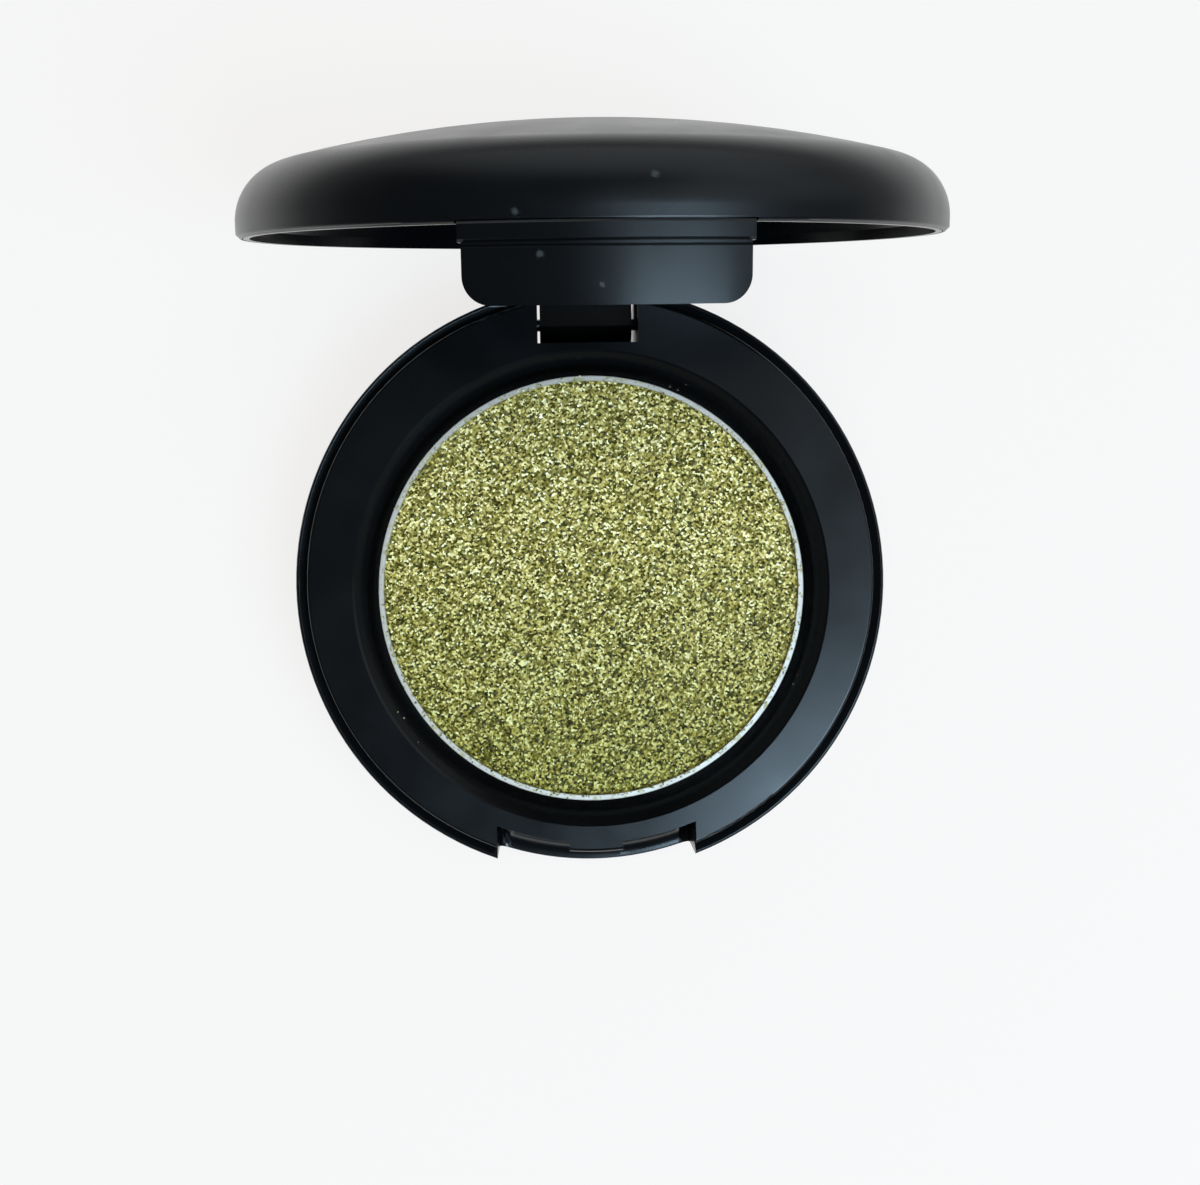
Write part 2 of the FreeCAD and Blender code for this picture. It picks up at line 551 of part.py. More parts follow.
def build_lid_frame():
    """Inner plate and skirt, front tab with thumb pad, and hinge knuckle. Origin on the rim's plane."""
    body = new_body("lid_frame")
    low = "(-tab_length - cut_over)"
    high = "(lip_height + cut_over)"
    beyond = f"({TAB_FACE} + 5 * cut_over)"
    front = new_sketch(body, "tab_front", "XZ_Plane")
    draw_loop(front, [
        (f"-{TAB_HALF}", "tab_corner - tab_length", "tab_corner", 1),
        (f"-{TAB_HALF} + tab_corner", "-tab_length"),
        (f"{TAB_HALF} - tab_corner", "-tab_length", "tab_corner", 1),
        (TAB_HALF, "tab_corner - tab_length"),
        (TAB_HALF, "-pad_drop"),
        (PAD_HALF, "-pad_drop"),
        (PAD_HALF, "lip_height"),
        (f"-{PAD_HALF}", "lip_height"),
        (f"-{PAD_HALF}", "-pad_drop"),
        (f"-{TAB_HALF}", "-pad_drop"),
    ])
    extrude(body, "Pad", "tab_blank", front, f"{TAB_FACE} + cut_over")

    face = new_sketch(body, "tab_face_section", "XZ_Plane")
    draw_loop(face, [
        (TAB_FACE, low),
        (beyond, low),
        (beyond, high),
        (LINER_RADIUS, high),
        (LINER_RADIUS, "pad_rise"),
        (f"{TAB_FACE} - tab_line", "pad_rise"),
        (TAB_FACE, "pad_rise - tab_line"),
        (TAB_FACE, "tab_line - pad_drop"),
        (f"{TAB_FACE} - tab_line", "-pad_drop"),
        (f"{TAB_FACE} - tab_line", "-pad_drop - tab_line"),
        (TAB_FACE, "-pad_drop - 2 * tab_line"),
    ])
    turn(body, "Groove", "tab_face", face)

    back = new_sketch(body, "tab_back_section", "XZ_Plane")
    draw_loop(back, [
        ("0", low),
        (TAB_BACK, low),
        (TAB_BACK, f"{RIB_LOW} - rib_depth"),
        (f"{TAB_BACK} - rib_depth", RIB_LOW),
        (f"{TAB_BACK} - rib_depth", RIB_TOP),
        (TAB_BACK, f"{RIB_TOP} + rib_depth"),
        (TAB_BACK, high),
        ("0", high),
    ])
    turn(body, "Groove", "tab_back", back)

    rim = new_sketch(body, "frame_section", "XZ_Plane")
    draw_loop(rim, [
        ("0", CEILING),
        (f"{SKIRT_RADIUS} - lip_draft", CEILING),
        (SKIRT_RADIUS, SKIRT_FOOT),
        (SKIRT_RADIUS, "0"),
        (LINER_RADIUS, "0"),
        (LINER_RADIUS, "lip_height"),
        (f"{LINER_RADIUS} - lip_draft", LINER_TOP),
        ("0", LINER_TOP),
    ])
    turn(body, "Revolution", "frame", rim)

    heel = f"({SLOT_SPACE} + stop_overlap)"
    heel_back = f"{HINGE_REACH} + {heel} * cos(heel_angle * 1 deg)"
    heel_down = f"-{HINGE_DOWN} - {heel} * sin(heel_angle * 1 deg)"
    arm_back = f"(sqrt({BASE_RADIUS} * {BASE_RADIUS} - knuckle_half * knuckle_half) - arm_inset)"
    arm_root = f"sqrt({LINER_RADIUS} * {LINER_RADIUS} - knuckle_half * knuckle_half)"
    arm_top = f"{CEILING} + liner_thickness / 2"
    arm = new_sketch(body, "knuckle_section", "YZ_Plane")
    draw_loop(arm, [
        (f"{HINGE_REACH} - barrel_radius", f"-{HINGE_DOWN}", "barrel_radius", 1),
        (HINGE_REACH, f"-({HINGE_DOWN} + barrel_radius)"),
        (heel_back, heel_down),
        (arm_back, f"-{HINGE_DOWN}"),
        (arm_back, "-seam_gap - arm_step"),
        (arm_root, "-seam_gap"),
        (arm_root, "lip_height"),
        (f"{arm_root} - lip_draft", arm_top),
        (f"{HINGE_REACH} - barrel_radius", arm_top),
    ])
    extrude(body, "Pad", "knuckle", arm, "2 * knuckle_half", both=True)

    bore = new_sketch(body, "knuckle_bore_section", "YZ_Plane")
    draw_circle(bore, HINGE_REACH, f"-{HINGE_DOWN}", "pin_radius + pin_play")
    extrude(body, "Pocket", "knuckle_bore", bore, "4 * knuckle_half", both=True)
    place_lid(body)
    return body


def build_lid_cover():
    """Domed outer shell of the lid, its lip round the frame. Origin on the rim's plane."""
    body = new_body("lid_cover")
    top = "(side_band + shoulder_round + crown_rise)"
    corner = f"({BASE_RADIUS} - shoulder_round)"
    crown = f"(({corner} * {corner} + crown_rise * crown_rise) / (2 * crown_rise) + shoulder_round)"
    centre = f"({top} - {crown})"
    across = f"({corner} / ({crown} - shoulder_round))"
    upward = f"((side_band - {centre}) / ({crown} - shoulder_round))"
    inner_round = "(shoulder_round - lid_wall)"
    inner_crown = f"({crown} - lid_wall)"
    climb = f"({LINER_TOP} - side_band)"
    step = f"({corner} + sqrt({inner_round} * {inner_round} - {climb} * {climb}))"
    section = new_sketch(body, "cover_section", "XZ_Plane")
    draw_loop(section, [
        (LIP_RADIUS, "0"),
        (f"{BASE_RADIUS} - rim_round", "0", "rim_round", 1),
        (BASE_RADIUS, "rim_round"),
        (BASE_RADIUS, "side_band", "shoulder_round", 1),
        (f"{crown} * {across}", f"{centre} + {crown} * {upward}", crown, 1),
        ("0", top),
        ("0", f"{top} - lid_wall", inner_crown, -1),
        (f"{inner_crown} * {across}", f"{centre} + {inner_crown} * {upward}", inner_round, -1),
        (step, LINER_TOP),
        (f"{LIP_RADIUS} - lip_draft", LINER_TOP),
        (LIP_RADIUS, "lip_height"),
    ])
    turn(body, "Revolution", "dome", section)

    gate = new_sketch(body, "pad_gate_front", "XZ_Plane", z=PAST_SIDE)
    half = f"({PAD_HALF} + 2 * lip_gap)"
    draw_loop(gate, rectangle(f"-{half}", half, "-cut_over", "pad_rise + lip_gap"))
    extrude(body, "Pocket", "pad_gate", gate, PAST_SIDE)
    place_lid(body)
    return body


def place(body, x_text, y_text, z_text):
    """Tie a sub-part's position to its formulas."""
    for axis, text in (("x", x_text), ("y", y_text), ("z", z_text)):
        body.setExpression(f"Placement.Base.{axis}", bound(text))


def place_lid(body):
    """Swing a lid piece open about the hinge axis."""
    body.Placement.Rotation = FreeCAD.Rotation(FreeCAD.Vector(-1, 0, 0), value_of("open_angle"))
    body.setExpression("Placement.Rotation.Angle", bound("open_angle"))
    near = "cos(open_angle * 1 deg)"
    over = "sin(open_angle * 1 deg)"
    back = f"{HINGE_REACH} - {HINGE_REACH} * {near} + {HINGE_DOWN} * {over}"
    up = f"{HINGE_HEIGHT} + {HINGE_REACH} * {over} + {HINGE_DOWN} * {near}"
    place(body, "0", back, up)


def check_document():
    """Stop if any feature failed to build."""
    doc.recompute()
    for item in doc.Objects:
        if "Invalid" in item.State or "Error" in item.State:
            raise RuntimeError(f"{item.Name} did not build: {item.State}")


def write_parts(bodies):
    """Check each solid and write it to its own file."""
    os.makedirs("parts", exist_ok=True)
    for body in bodies:
        shape = body.Shape
        if shape.isNull() or not shape.isValid() or len(shape.Solids) != 1:
            raise RuntimeError(f"{body.Label} is not one valid solid")
        shape.exportStep(f"parts/{body.Label}.step")
        print(body.Label, round(shape.Volume, 2), shape.BoundBox)


fill_sheet()
pieces = [
    build_base_shell(),
    build_pan_tray(),
    build_powder_pan(),
    build_powder_cake(),
    build_adhesive_disc(),
    build_hinge_pin(),
    build_lid_frame(),
    build_lid_cover(),
]
check_document()
write_parts(pieces)
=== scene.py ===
"""Dress a round single-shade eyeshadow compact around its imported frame."""
import logging
import math
import random
from dataclasses import dataclass
from enum import Enum
from typing import Any, Protocol

import bmesh
import bpy
from mathutils import Euler, Matrix, Vector, noise


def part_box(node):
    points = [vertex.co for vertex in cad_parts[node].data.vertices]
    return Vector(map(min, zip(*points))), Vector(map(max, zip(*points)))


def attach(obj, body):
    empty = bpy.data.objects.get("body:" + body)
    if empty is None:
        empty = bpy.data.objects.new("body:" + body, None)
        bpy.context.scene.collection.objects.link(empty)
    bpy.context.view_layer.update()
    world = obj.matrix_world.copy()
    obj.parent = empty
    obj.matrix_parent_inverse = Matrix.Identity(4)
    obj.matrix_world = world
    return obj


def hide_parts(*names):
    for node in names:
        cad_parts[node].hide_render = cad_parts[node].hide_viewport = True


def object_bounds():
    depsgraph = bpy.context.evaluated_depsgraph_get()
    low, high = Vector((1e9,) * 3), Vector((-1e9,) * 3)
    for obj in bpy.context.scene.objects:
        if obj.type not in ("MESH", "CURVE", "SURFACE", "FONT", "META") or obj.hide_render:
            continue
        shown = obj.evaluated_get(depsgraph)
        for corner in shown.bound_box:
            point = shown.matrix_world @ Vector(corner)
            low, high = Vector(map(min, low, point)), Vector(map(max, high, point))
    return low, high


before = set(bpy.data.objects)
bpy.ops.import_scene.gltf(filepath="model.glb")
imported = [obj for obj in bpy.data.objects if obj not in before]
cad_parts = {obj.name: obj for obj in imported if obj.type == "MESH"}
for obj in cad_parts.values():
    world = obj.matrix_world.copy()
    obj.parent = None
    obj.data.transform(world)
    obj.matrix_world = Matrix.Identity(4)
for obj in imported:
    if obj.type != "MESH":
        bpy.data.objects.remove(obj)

CAD_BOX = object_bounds()
LOG = logging.getLogger("compact")
MM = 0.001
PER_MM = 1000.0
CLOUD_SPAN = (0.3, 0.7)
Rgb = tuple[float, float, float]
Span = tuple[float, float]
Stops = tuple[tuple[float, Rgb], ...]


class Body(Enum):
    """The two bodies that move against each other."""

    BASE = "base"
    LID = "lid"


class Slot(Enum):
    """Names of material slots for the new pieces, which nothing here reads."""

    SHELL = "shell_black"
    COVER = "cover_black"
    POWDER = "powder_olive"


class Finish(Protocol):
    """Anything that can make a material."""

    def make(self) -> bpy.types.Material:
        """Build the material."""


class Graph:
    """A material's or world's node tree, built node by node."""

    def __init__(self, owner: Any) -> None:
        """Start an empty tree.

        Args:
            owner: Material or world that holds the tree.
        """
        owner.use_nodes = True
        self.tree = owner.node_tree
        self.tree.nodes.clear()

    def node(self, kind: str, inputs: dict[Any, Any] | None = None, **settings: Any) -> bpy.types.Node:
        """Add a node, set its options, and set or link its inputs.

        Args:
            kind: Node type without the ShaderNode prefix.
            inputs: Socket name or number to a plain value or another node's output.
            settings: Options of the node.

        Returns:
            The new node.
        """
        made = self.tree.nodes.new(f"ShaderNode{kind}")
        for key, value in settings.items():
            setattr(made, key, value)
        for key, value in (inputs or {}).items():
            if isinstance(value, bpy.types.NodeSocket):
                self.tree.links.new(value, made.inputs[key])
            else:
                made.inputs[key].default_value = value
        return made

    def place(self) -> bpy.types.NodeSocket:
        """Object coordinates of the surface."""
        return self.node("TexCoord").outputs["Object"]

    def noise(self, vector: bpy.types.NodeSocket, per_mm: float,
              detail: float = 2.0) -> bpy.types.NodeSocket:
        """Cloudy noise from 0 to 1.

        Args:
            vector: Coordinates.
            per_mm: Clouds in a millimetre.
            detail: Finer octaves on top.

        Returns:
            The noise value.
        """
        inputs = {"Vector": vector, "Scale": per_mm * PER_MM, "Detail": detail}
        return self.node("TexNoise", inputs).outputs["Fac"]

    def spread(self, value: bpy.types.NodeSocket, old: Span, new: Span,
               curve: str = "LINEAR") -> bpy.types.NodeSocket:
        """Map one range of values to another, held at its ends.

        Args:
            value: Value to map.
            old: Range of the value.
            new: Range that it becomes.
            curve: Blender's name of the way between the ends.

        Returns:
            The mapped value.
        """
        inputs = {
            "Value": value,
            "From Min": old[0],
            "From Max": old[1],
            "To Min": new[0],
            "To Max": new[1],
        }
        return self.node("MapRange", inputs, interpolation_type=curve).outputs["Result"]

    def blend(self, share: Any, first: Any, second: Any, mode: str = "MIX") -> bpy.types.NodeSocket:
        """Mix two colours.

        Args:
            share: Part of the second colour.
            first: First colour.
            second: Second colour.
            mode: Blend mode.

        Returns:
            The mixed colour.
        """
        mix = self.node("Mix", data_type="RGBA", blend_type=mode)
        sockets = [item for item in mix.inputs if item.enabled]
        for socket, value in zip(sockets, (share, first, second)):
            if isinstance(value, bpy.types.NodeSocket):
                self.tree.links.new(value, socket)
            else:
                socket.default_value = value if isinstance(value, float) else (*value, 1.0)
        return [item for item in mix.outputs if item.enabled][0]

    def sum(self, operation: str, first: Any, second: Any) -> bpy.types.NodeSocket:
        """Work out one value from two.

        Args:
            operation: Blender's name of the operation.
            first: First value.
            second: Second value.

        Returns:
            The result.
        """
        return self.node("Math", {0: first, 1: second}, operation=operation).outputs[0]

    def vector(self, operation: str, first: Any, second: Any) -> bpy.types.NodeSocket:
        """Work out one vector from two, or from a vector and a factor.

        Args:
            operation: Blender's name of the operation.
            first: First vector.
            second: Second vector, or the factor of a scaling.

        Returns:
            The resulting vector.
        """
        other = "Scale" if operation == "SCALE" else 1
        return self.node("VectorMath", {0: first, other: second}, operation=operation).outputs["Vector"]

    def apart(self, vector: bpy.types.NodeSocket, point: Rgb) -> bpy.types.NodeSocket:
        """Distance from a point.

        Args:
            vector: Coordinates.
            point: The point, in millimetres.

        Returns:
            The distance in metres.
        """
        inputs = {0: vector, 1: Vector(point) * MM}
        return self.node("VectorMath", inputs, operation="DISTANCE").outputs["Value"]

    def ramp(self, value: bpy.types.NodeSocket, stops: Stops) -> bpy.types.NodeSocket:
        """Turn a value into a colour.

        Args:
            value: Value from 0 to 1.
            stops: Place and colour of each stop, the two ends first.

        Returns:
            The colour.
        """
        made = self.node("ValToRGB", {"Fac": value})
        points = made.color_ramp.elements
        for index, (place, colour) in enumerate(stops):
            point = points[index] if index < 2 else points.new(place)
            point.position = place
            point.color = (*colour, 1.0)
        return made.outputs["Color"]

    def bump(self, height: bpy.types.NodeSocket, depth: float,
             strength: float = 1.0) -> bpy.types.NodeSocket:
        """Raise a surface by a height value.

        Args:
            height: Height from 0 to 1.
            depth: Millimetres at a height of 1.
            strength: How far the surface follows.

        Returns:
            The new normal.
        """
        inputs = {"Height": height, "Distance": depth * MM, "Strength": strength}
        return self.node("Bump", inputs).outputs["Normal"]

    def surface(self, inputs: dict[Any, Any]) -> None:
        """Close the tree with a principled surface."""
        shader = self.node("BsdfPrincipled", inputs)
        self.node("OutputMaterial", {"Surface": shader.outputs["BSDF"]})


@dataclass(frozen=True)
class Speck:
    """A speck of dust that sits on a moulding, in millimetres."""

    place: Rgb
    radius: float


@dataclass(frozen=True)
class Bearing:
    """A polished bearing that runs along x, in millimetres."""

    axis: Rgb
    reach: Span
    polish: float

    def dull(self, graph: Graph, place: bpy.types.NodeSocket) -> bpy.types.NodeSocket:
        """Tell how much of its roughness the surface keeps.

        Args:
            graph: The material's tree.
            place: Object coordinates.

        Returns:
            The polish at the axis, and 1 away from it.
        """
        upright = graph.vector("MULTIPLY", place, (0.0, 1.0, 1.0))
        near, far = (reach * MM for reach in self.reach)
        return graph.spread(graph.apart(upright, self.axis), (near, far), (self.polish, 1.0))


@dataclass(frozen=True)
class MouldedBlack:
    """Blue-black moulded plastic with a fine grain, uneven gloss and a little dust."""

    name: str
    specks: tuple[Speck, ...] = ()
    bearing: Bearing | None = None
    colour: Rgb = (0.0016, 0.0020, 0.0026)
    tone: Rgb = (0.0026, 0.0032, 0.0040)
    gloss: Span = (0.20, 0.27)
    index: float = 1.5
    clouds: float = 0.25
    cloud_detail: float = 3.0
    grain: float = 14.0
    grain_depth: float = 0.001
    dust_cells: float = 0.3
    dust_radius: float = 0.09
    dust_core: float = 0.5
    dust_share: float = 0.25
    dust_colour: Rgb = (0.035, 0.042, 0.045)
    speck_cover: float = 0.75
    speck_rags: float = 5.0
    speck_spread: Span = (0.7, 1.5)

    def make(self) -> bpy.types.Material:
        """Build the material.

        Returns:
            The new material.
        """
        material = bpy.data.materials.new(self.name)
        graph = Graph(material)
        place = graph.place()
        broad = graph.noise(place, self.clouds, self.cloud_detail)
        speck = self.scatter_dust(graph, place)
        fine = graph.noise(place, self.grain)
        rough = graph.spread(broad, CLOUD_SPAN, self.gloss)
        if self.bearing:
            rough = graph.sum("MULTIPLY", rough, self.bearing.dull(graph, place))
        clean = graph.blend(broad, self.colour, self.tone)
        graph.surface({
            "Base Color": graph.blend(speck, clean, self.dust_colour),
            "Roughness": graph.sum("MAXIMUM", rough, speck),
            "Normal": graph.bump(fine, self.grain_depth),
            "IOR": self.index,
        })
        return material

    def scatter_dust(self, graph: Graph, place: bpy.types.NodeSocket) -> bpy.types.NodeSocket:
        """Mark fine dust all over, and the larger specks at their places.

        Args:
            graph: The material's tree.
            place: Object coordinates.

        Returns:
            How dusty the surface is, from 0 to 1.
        """
        cells = graph.node("TexVoronoi", {"Vector": place, "Scale": self.dust_cells * PER_MM})
        reach = self.dust_radius * self.dust_cells
        near = graph.spread(cells.outputs["Distance"], (reach * self.dust_core, reach), (1.0, 0.0))
        chance = graph.node("SeparateColor", {"Color": cells.outputs["Color"]}).outputs[0]
        dusty = graph.sum("MULTIPLY", near, graph.sum("GREATER_THAN", chance, 1.0 - self.dust_share))
        ragged = graph.spread(graph.noise(place, self.speck_rags), CLOUD_SPAN, self.speck_spread)
        for speck in self.specks:
            distance = graph.sum("MULTIPLY", graph.apart(place, speck.place), ragged)
            span, cover = (0.0, speck.radius * MM), (self.speck_cover, 0.0)
            soft = graph.spread(distance, span, cover, "SMOOTHSTEP")
            dusty = graph.sum("MAXIMUM", dusty, soft)
        return dusty


@dataclass(frozen=True)
class PressedShimmer:
    """Pressed olive powder full of gold and white flakes, with painted shade that darkens it towards
    the front.
    """

    name: str = "pressed_olive_shimmer"
    flakes: float = 7.6
    tilt: float = 0.5
    clusters: float = 0.9
    cluster_detail: float = 3.0
    cluster_span: Span = (0.35, 0.65)
    gold: Rgb = (1.0, 0.93, 0.72)
    gold_share: float = 0.35
    metallic: float = 0.15
    roughness: float = 0.42
    front: float = -14.0
    back: float = 4.0
    # Painted shade: a colour multiplied in at the front edge, fading to none at the back.
    painted_front_shade: Rgb = (0.53, 0.56, 0.28)
    stops: Stops = (
        (0.0, (0.018, 0.019, 0.001)),
        (1.0, (1.0, 0.99, 0.70)),
        (0.20, (0.082, 0.077, 0.007)),
        (0.50, (0.258, 0.232, 0.037)),
        (0.75, (0.54, 0.475, 0.125)),
        (0.90, (0.93, 0.855, 0.39)),
    )

    def make(self) -> bpy.types.Material:
        """Build the material.

        Returns:
            The new material.
        """
        material = bpy.data.materials.new(self.name)
        graph = Graph(material)
        place = graph.place()
        flakes = graph.node("TexVoronoi", {"Vector": place, "Scale": self.flakes * PER_MM})
        chance = graph.node("SeparateColor", {"Color": flakes.outputs["Color"]}).outputs[0]
        colour = graph.ramp(chance, self.stops)
        cluster = graph.noise(place, self.clusters, self.cluster_detail)
        golden = graph.spread(cluster, self.cluster_span, (0.0, self.gold_share))
        toned = graph.blend(golden, colour, self.gold, "MULTIPLY")
        # Painted shade: the colour gets darker and more yellow-green from the back towards the front
        # edge, standing in for light that falls off there.
        depth = graph.node("SeparateXYZ", {"Vector": place}).outputs["Y"]
        painted_shade_share = graph.spread(depth, (self.back * MM, self.front * MM), (0.0, 1.0))
        painted_shade_colour = graph.blend(painted_shade_share, toned, self.painted_front_shade, "MULTIPLY")
        lean = graph.vector("SUBTRACT", flakes.outputs["Color"], (0.5, 0.5, 0.5))
        facing = graph.node("NewGeometry").outputs["Normal"]
        leaning = graph.vector("ADD", facing, graph.vector("SCALE", lean, self.tilt))
        graph.surface({
            "Base Color": painted_shade_colour,
            "Metallic": self.metallic,
            "Roughness": self.roughness,
            "Normal": graph.node("VectorMath", {0: leaning}, operation="NORMALIZE").outputs["Vector"],
        })
        return material


@dataclass(frozen=True)
class BrightTin:
    """Bright pressed tin with fine turning lines and powder rubbed into it."""

    name: str = "bright_tin"
    centre: Rgb = (0.0, -0.46, 0.0)
    lines: float = 7.0
    line_span: Span = (0.35, 0.65)
    line_depth: float = 0.006
    blotches: float = 0.8
    blotch_detail: float = 3.0
    gloss: Span = (0.34, 0.52)
    metallic: float = 0.45
    smears: float = 1.7
    smear_detail: float = 4.0
    smear_span: Span = (0.56, 0.66)
    smear_cover: float = 0.8
    dull: Rgb = (0.44, 0.43, 0.39)
    bright: Rgb = (0.74, 0.73, 0.69)
    rubbed: Rgb = (0.30, 0.31, 0.13)

    def make(self) -> bpy.types.Material:
        """Build the material.

        Returns:
            The new material.
        """
        material = bpy.data.materials.new(self.name)
        graph = Graph(material)
        place = graph.place()
        flat = graph.vector("MULTIPLY", place, (1.0, 1.0, 0.0))
        radius = graph.apart(flat, self.centre)
        turning = {"W": radius, "Scale": self.lines * PER_MM}
        rings = graph.node("TexNoise", turning, noise_dimensions="1D")
        blotches = graph.noise(place, self.blotches, self.blotch_detail)
        shine = graph.spread(rings.outputs["Fac"], self.line_span, (0.0, 1.0))
        metal = graph.blend(shine, self.dull, self.bright)
        streaks = graph.noise(place, self.smears, self.smear_detail)
        smear = graph.spread(streaks, self.smear_span, (0.0, self.smear_cover))
        graph.surface({
            "Base Color": graph.blend(smear, metal, self.rubbed),
            "Metallic": graph.spread(smear, (0.0, self.smear_cover), (self.metallic, 0.0)),
            "Roughness": graph.spread(blotches, CLOUD_SPAN, self.gloss),
            "Normal": graph.bump(rings.outputs["Fac"], self.line_depth),
        })
        return material


@dataclass(frozen=True)
class PinSteel:
    """Drawn steel wire with streaks along its length."""

    name: str = "drawn_steel"
    stretch: Rgb = (0.08, 1.0, 1.0)
    streaks: float = 12.0
    streak_detail: float = 3.0
    streak_depth: float = 0.003
    dark: Rgb = (0.30, 0.30, 0.32)
    bright: Rgb = (0.46, 0.46, 0.48)
    gloss: Span = (0.28, 0.45)

    def make(self) -> bpy.types.Material:
        """Build the material.

        Returns:
            The new material.
        """
        material = bpy.data.materials.new(self.name)
        graph = Graph(material)
        along = graph.node("Mapping", {"Vector": graph.place(), "Scale": self.stretch})
        streaks = graph.noise(along.outputs["Vector"], self.streaks, self.streak_detail)
        graph.surface({
            "Base Color": graph.blend(streaks, self.dark, self.bright),
            "Metallic": 1.0,
            "Roughness": graph.spread(streaks, CLOUD_SPAN, self.gloss),
            "Normal": graph.bump(streaks, self.streak_depth),
        })
        return material


@dataclass(frozen=True)
class Adhesive:
    """Milky double-sided adhesive film."""

    name: str = "adhesive_film"
    clouds: float = 1.5
    cloud_detail: float = 3.0
    cloud_depth: float = 0.01
    milky: Rgb = (0.62, 0.58, 0.48)
    pale: Rgb = (0.74, 0.71, 0.62)
    gloss: Span = (0.35, 0.55)

    def make(self) -> bpy.types.Material:
        """Build the material.

        Returns:
            The new material.
        """
        material = bpy.data.materials.new(self.name)
        graph = Graph(material)
        clouds = graph.noise(graph.place(), self.clouds, self.cloud_detail)
        graph.surface({
            "Base Color": graph.blend(clouds, self.milky, self.pale),
            "Roughness": graph.spread(clouds, CLOUD_SPAN, self.gloss),
            "Normal": graph.bump(clouds, self.cloud_depth),
        })
        return material


def dress_node(node: str, finish: Finish) -> None:
    """Give a piece that keeps its CAD shape a finish.

    Args:
        node: Name of the piece.
        finish: What its surface is.
    """
    material = finish.make()
    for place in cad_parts[node].material_slots:
        place.material = material
    LOG.info("dressed %s with %s", node, material.name)


def add_piece(name: str, mesh: bmesh.types.BMesh, body: Body,
              material: bpy.types.Material) -> bpy.types.Object:
    """Turn a modelled mesh into a piece that rides on a body.

    Args:
        name: Name of the piece.
        mesh: Its shape, which is used up.
        body: What it moves with.
        material: Its surface.

    Returns:
        The new piece.
    """
    data = bpy.data.meshes.new(name)
    mesh.to_mesh(data)
    mesh.free()
    data.materials.append(material)
    piece = bpy.data.objects.new(name, data)
    bpy.context.scene.collection.objects.link(piece)
    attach(piece, body.value)
    LOG.info("made %s with %d faces", name, len(data.polygons))
    return piece


def find_border(mesh: bmesh.types.BMesh) -> list[bmesh.types.BMEdge]:
    """The open edges of a mesh."""
    return [edge for edge in mesh.edges if edge.is_boundary]


@dataclass(frozen=True)
class DomedCover:
    """The turned outside of the lid's cover, in millimetres, with the lid lying shut."""

    opening: Matrix
    radius: float = 18.6
    rim: float = 8.05
    rim_round: float = 0.2
    side_band: float = 0.68
    shoulder: float = 3.09
    crown_rise: float = 2.0
    gate_half: float = 8.0
    slack: float = 0.012
    level_slack: float = 0.003

    def lay_shut(self, point: Vector) -> Vector:
        """Where a point in metres lies in millimetres once the lid is shut."""
        return self.opening.inverted() @ point * PER_MM

    def on_rounding(self, point: Vector) -> bool:
        """Tell whether a point lies on the rim's rounding, away from the tab's gate.

        Args:
            point: The point, in metres, as the lid stands.

        Returns:
            True on the rounding.
        """
        shut = self.lay_shut(point)
        outward = math.hypot(shut.x, shut.y) - self.radius + self.rim_round
        downward = self.rim + self.rim_round - shut.z
        away = shut.y > 0.0 or abs(shut.x) > self.gate_half
        beside = min(outward, downward) > -self.slack
        return away and beside and abs(math.hypot(outward, downward) - self.rim_round) < self.slack

    def renew_rim(self, mesh: bmesh.types.BMesh) -> None:
        """Lay the rim's rounding anew as one even band, and close the band's ends.

        Args:
            mesh: The cover's joined mesh.
        """
        old = [face for face in mesh.faces if all(self.on_rounding(vertex.co) for vertex in face.verts)]
        bmesh.ops.delete(mesh, geom=old, context="FACES")
        upright = self.opening.to_3x3().col[2]
        level = []
        for edge in find_border(mesh):
            first, second = (vertex.co for vertex in edge.verts)
            if abs((first - second).dot(upright)) < self.level_slack * MM:
                level.append(edge)
        band = bmesh.ops.bridge_loops(mesh, edges=level)["faces"]
        ends = bmesh.ops.holes_fill(mesh, edges=find_border(mesh))["faces"]
        for face in band + ends:
            face.smooth = True
        LOG.info("renewed the rim with %d faces for %d, and %d ends", len(band), len(old), len(ends))

    def arc(self, across: float, above: float) -> tuple[float, float, float]:
        """Find the arc of the cover's section that a point belongs to.

        Args:
            across: The point's distance from the middle.
            above: Its height above the rim.

        Returns:
            Distance and height of the arc's centre, and its radius.
        """
        corner = self.radius - self.shoulder
        crown = (corner ** 2 + self.crown_rise ** 2) / (2 * self.crown_rise) + self.shoulder
        middle = self.side_band + self.shoulder + self.crown_rise - crown
        if above < self.side_band:
            return self.radius - self.rim_round, max(above, self.rim_round), self.rim_round
        if across * (self.side_band - middle) > corner * (above - middle):
            return corner, self.side_band, self.shoulder
        return 0.0, middle, crown

    def normal(self, point: Vector) -> Vector | None:
        """Work out the cover's exact normal at a point.

        Args:
            point: The point, in metres, as the lid stands.

        Returns:
            The normal there, or nothing off the outside.
        """
        shut = self.lay_shut(point)
        flat = Vector((shut.x, shut.y, 0.0))
        above = shut.z - self.rim
        centre, height, span = self.arc(flat.length, above)
        outward, upward = flat.length - centre, above - height
        if outward < -self.slack or abs(math.hypot(outward, upward) - span) > self.slack:
            return None
        slope = flat.normalized() * outward + Vector((0.0, 0.0, upward))
        return (self.opening.to_3x3() @ slope).normalized()


